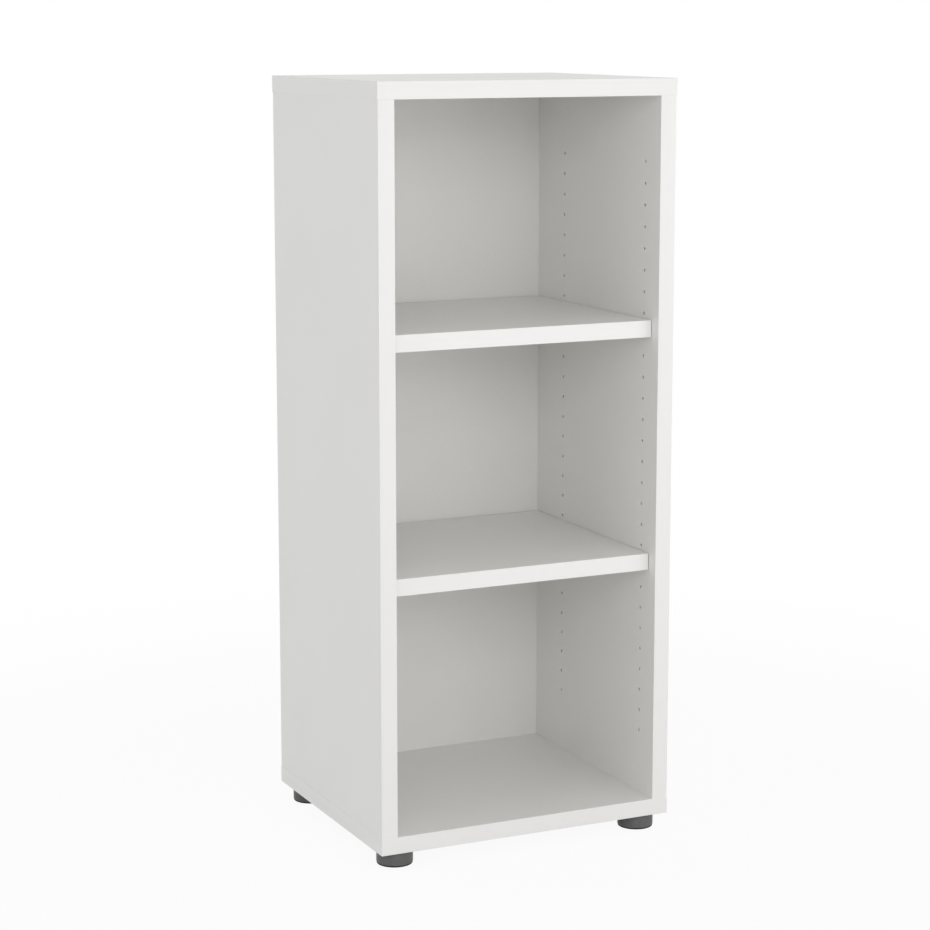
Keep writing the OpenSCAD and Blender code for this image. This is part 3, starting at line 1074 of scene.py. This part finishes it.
def add_thread(low, high):
    """A threaded rod from one height to another, chamfered at its tip."""
    turns = math.ceil((high - low) / THREAD_PITCH) + 2
    bpy.ops.object.select_all(action="DESELECT")
    bpy.ops.mesh.primitive_plane_add(size=MM, location=(0, 0, 0))
    thread = bpy.context.object
    start = low - THREAD_PITCH
    open_mesh(thread)
    bpy.ops.mesh.select_mode(type="VERT")
    bpy.ops.mesh.select_all(action="SELECT")
    bpy.ops.mesh.merge(type="CENTER")
    bpy.ops.transform.translate(value=(ROOT, 0, start))
    for before, after in zip(PROFILE, PROFILE[1:]):
        step = (after[0] - before[0], 0, (after[1] - before[1]) * THREAD_PITCH)
        bpy.ops.mesh.extrude_vertices_move(TRANSFORM_OT_translate={"value": step})
    close_mesh()
    apply_modifier(
        thread, "SCREW", axis="Z", angle=2 * math.pi, screw_offset=THREAD_PITCH,
        iterations=turns, steps=THREAD_STEPS, render_steps=THREAD_STEPS,
        use_merge_vertices=True, merge_threshold=TINY / 10,
    )
    open_mesh(thread)
    for height, keep in ((low, "clear_inner"), (high + THREAD_PITCH / 2, "clear_outer")):
        bpy.ops.mesh.select_all(action="SELECT")
        bpy.ops.mesh.remove_doubles(threshold=TINY / 10)
        bpy.ops.mesh.bisect(
            plane_co=(0, 0, height), plane_no=(0, 0, 1), use_fill=True,
            threshold=TINY / 100, **{keep: True},
        )
    bpy.ops.mesh.select_all(action="SELECT")
    bpy.ops.mesh.normals_make_consistent(inside=False)
    close_mesh()
    outline = add_broken_cylinder("outline", TIP_OUTLINE, low - MM, high, TIP_CHAMFER)
    combine(thread, outline, "INTERSECT")
    return thread


print("thread pitch", THREAD_PITCH / MM, "mm")

# %% [markdown]
# ## The stud's head and shank
#
# The head is a hexagon bar that was turned before it was cut off, so its corners end in
# round chamfers: the prism is cut to the shape of a chamfered cylinder. Head, plain shank and
# thread overlap a little and are welded into one closed piece.

# %% Stud
HEAD_ACROSS = 16 * MM
HEAD_HEIGHT = 6.4 * MM
HEAD_CHAMFER = 1.1 * MM
SHANK_TOP = 23.5 * MM


def add_stud(low, high):
    """One stud on the Z axis: head below, plain shank, thread above."""
    head_top = low.z + HEAD_HEIGHT
    corner_radius = HEAD_ACROSS / 2 / math.cos(math.pi / 6)
    stud = add_cylinder("stud_pattern", corner_radius, low.z, head_top, sides=6)
    turned = add_broken_cylinder("turned", corner_radius + TINY, low.z, head_top, HEAD_CHAMFER)
    combine(stud, turned, "INTERSECT")
    overlap = THREAD_PITCH / 2
    shank = add_cylinder("shank", CREST, head_top - overlap, SHANK_TOP, sides=THREAD_STEPS)
    combine(stud, shank, "UNION")
    combine(stud, add_thread(SHANK_TOP - overlap, high.z), "UNION")
    return stud


copy_to_corners(add_stud(*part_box("stud_front_left")), "stud", zinc_plate, "_threaded")

# %% [markdown]
# ## Fittings inside the boards
#
# Cams, bolts, dowels and sockets sit inside the boards and only show when the case is taken
# apart. Their shapes are right as they are, so they keep their meshes and only get finishes.

# %% Finishes of the inner fittings
INNER_FITTINGS = {
    "cam_locks": zinc_plate, "cam_bolts": yellow_zinc,
    "foot_sockets": yellow_zinc, "dowels": turned_beech,
}
for node, finish in INNER_FITTINGS.items():
    frame["nodes"][node].data.materials[0] = finish
    print(node, "->", finish.name)

# %% [markdown]
# ## Floor
#
# A pale floor carries the soft shadow under the case. Far from the case it turns into pure
# white, and the world behind it is pure white too, so no horizon shows. Only the eye and
# mirror rays see that white: it gives no light to the object.

# %% Floor
FLOOR_PALE = (0.78, 0.78, 0.775)
WHITE_NEAR = 0.93
FADE_FROM = 0.6
FADE_TO = 1.8
FLOOR_WIDTH = 80


def white_for_the_eye(tree):
    """1 for camera, mirror and glass rays, and 0 for the rays that carry light."""
    path = add_node(tree, "LightPath")
    mirrored = math_node(
        tree, "MAXIMUM", path.outputs["Is Glossy Ray"], path.outputs["Is Transmission Ray"]
    )
    return math_node(tree, "MAXIMUM", path.outputs["Is Camera Ray"], mirrored)


def make_floor_finish():
    """Matt near the case, where its shadow falls, and plain white further out."""
    finish = bpy.data.materials.new("pale_floor")
    finish.use_nodes = True
    tree = finish.node_tree
    tree.nodes.clear()
    pale = add_node(tree, "BsdfDiffuse", Color=(*FLOOR_PALE, 1))
    white = add_node(tree, "Emission", Color=(1, 1, 1, 1), Strength=1.0)
    place = add_node(tree, "TexCoord").outputs["Object"]
    distance = add_node(tree, "VectorMath", {"operation": "LENGTH"})
    join(tree, place, distance.inputs[0])
    fade = add_node(
        tree, "MapRange", {"interpolation_type": "SMOOTHSTEP"},
        From_Min=FADE_FROM, From_Max=FADE_TO, To_Min=WHITE_NEAR, To_Max=1.0,
    )
    join(tree, distance.outputs["Value"], fade.inputs["Value"])
    share = math_node(tree, "MULTIPLY", fade.outputs["Result"], white_for_the_eye(tree))
    mix = add_node(tree, "MixShader")
    join(tree, share, mix.inputs["Fac"])
    join(tree, pale.outputs["BSDF"], mix.inputs[1])
    join(tree, white.outputs["Emission"], mix.inputs[2])
    output = add_node(tree, "OutputMaterial")
    join(tree, mix.outputs["Shader"], output.inputs["Surface"])
    return finish


bpy.ops.object.select_all(action="DESELECT")
bpy.ops.mesh.primitive_plane_add(size=FLOOR_WIDTH, location=(0, 0, -TINY))
floor = bpy.context.object
floor.name = "pale_floor"
floor.data.materials.append(make_floor_finish())
print("floor", floor.dimensions.x, "m wide")

# %% [markdown]
# ## World and lamps
#
# The light is that of a plain studio with white walls: soft boxes in front and on the left,
# and an even light from all round. The boxes in front stand a little above the case, so each
# shelf shades the top of the bay below it. One faint box stands behind on the left, and
# keeps the left side panel even. The box on the left is a little cool, as a window is, and
# sets the side panel off from the warmer front. The powers are low enough that no white
# board burns out.

# %% World
WORLD_LIGHT = 0.587


def make_world():
    """Even light from all round, behind a background that looks white."""
    world = bpy.data.worlds.new("studio")
    bpy.context.scene.world = world
    world.use_nodes = True
    tree = world.node_tree
    tree.nodes.clear()
    dim = add_node(tree, "Background", Color=(1, 1, 1, 1), Strength=WORLD_LIGHT)
    white = add_node(tree, "Background", Color=(1, 1, 1, 1), Strength=1.0)
    mix = add_node(tree, "MixShader")
    join(tree, white_for_the_eye(tree), mix.inputs["Fac"])
    join(tree, dim.outputs["Background"], mix.inputs[1])
    join(tree, white.outputs["Background"], mix.inputs[2])
    output = add_node(tree, "OutputWorld")
    join(tree, mix.outputs["Shader"], output.inputs["Surface"])


make_world()
print("world light", WORLD_LIGHT)

# %% Lamps
MIDDLE = (cad_low + cad_high) / 2
NEUTRAL = (1.0, 1.0, 1.0)
COOL = (0.85, 0.90, 1.0)
# name: degrees to the right of the front, degrees up, metres away, width, height, watts, colour
SOFT_BOXES = {
    "front_mid": (3, 22, 4.4, 2.0, 1.2, 10.6, NEUTRAL),
    "front_left_mid": (-30, 20, 4.4, 2.0, 1.2, 17.6, NEUTRAL),
    "front_wide": (0, 5, 3.8, 3.0, 2.0, 14.9, NEUTRAL),
    "front_right_wide": (35, 5, 3.8, 2.4, 2.0, 20.2, NEUTRAL),
    "left_side": (-80, 10, 3.6, 2.0, 2.0, 9.8, COOL),
    "left_rear": (-125, 20, 3.6, 2.0, 2.0, 6.1, NEUTRAL),
    "overhead": (0, 90, 3.2, 2.2, 2.2, 5.2, NEUTRAL),
}


def add_soft_box(name, turned, raised, distance, width, height, power, colour):
    """An area lamp that hangs round the case and looks at its middle."""
    turn, lift = math.radians(turned), math.radians(raised)
    along_floor = Vector((math.sin(turn), -math.cos(turn), 0)) * math.cos(lift)
    out = along_floor + Vector((0, 0, math.sin(lift)))
    bpy.ops.object.light_add(type="AREA", location=MIDDLE + out * distance)
    lamp = bpy.context.object
    lamp.name = name
    lamp.data.shape = "RECTANGLE"
    lamp.data.size = width
    lamp.data.size_y = height
    lamp.data.energy = power
    lamp.data.color = colour
    lamp.rotation_euler = (-out).to_track_quat("-Z", "Y").to_euler()
    lamp.visible_camera = False
    print("lamp", name, power, "W")


for name, settings in SOFT_BOXES.items():
    add_soft_box(name, *settings)
